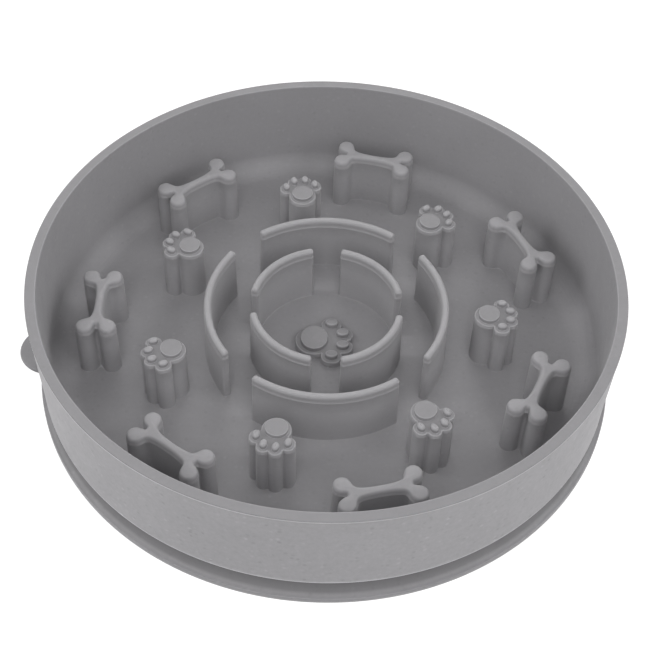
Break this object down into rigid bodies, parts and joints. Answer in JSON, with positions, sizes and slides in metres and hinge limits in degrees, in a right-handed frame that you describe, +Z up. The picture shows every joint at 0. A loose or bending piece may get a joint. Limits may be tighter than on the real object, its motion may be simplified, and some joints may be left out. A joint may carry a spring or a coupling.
{
  "type": "slow feeder bowl",
  "caption": "Round soft silicone slow feeder bowl with paw and bone posts and curved baffles on its floor, a suction foot and a pull tab.",
  "frame": {"origin": "centre of the bowl, in the plane of the surface that its sealing lip rests on", "axes": "+Z up out of the bowl's mouth, -X towards the pull tab, +Y to the left of a viewer who looks along +X"},
  "size_m": [0.2087, 0.2002, 0.045],
  "materials": {
    "silicone": "matt"
  },
  "bodies": {
    "bowl": {"bowl_wall": "silicone", "eating_floor": "silicone", "suction_skirt": "silicone", "tab_root": "silicone", "centre_paw": "silicone", "bone_post_1": "silicone", "bone_post_2": "silicone", "bone_post_3": "silicone", "bone_post_4": "silicone", "bone_post_5": "silicone", "bone_post_6": "silicone", "bone_post_7": "silicone", "paw_post_1": "silicone", "paw_post_2": "silicone", "paw_post_3": "silicone", "paw_post_4": "silicone", "paw_post_5": "silicone", "paw_post_6": "silicone", "paw_post_7": "silicone", "outer_arc_1": "silicone", "outer_arc_2": "silicone", "outer_arc_3": "silicone", "outer_arc_4": "silicone", "inner_arc_1": "silicone", "inner_arc_2": "silicone", "inner_arc_3": "silicone", "inner_arc_4": "silicone"},
    "pull_tab": {"pull_tab": "silicone"}
  },
  "joints": [
    {"name": "pull_tab_lift", "type": "hinge", "parent": "bowl", "child": "pull_tab", "pos_m": [-0.1025, 0, 0.001], "axis": [0, 1, 0], "range_deg": [0, 80], "stiffness_Nm_per_rad": 0.0005}
  ]
}
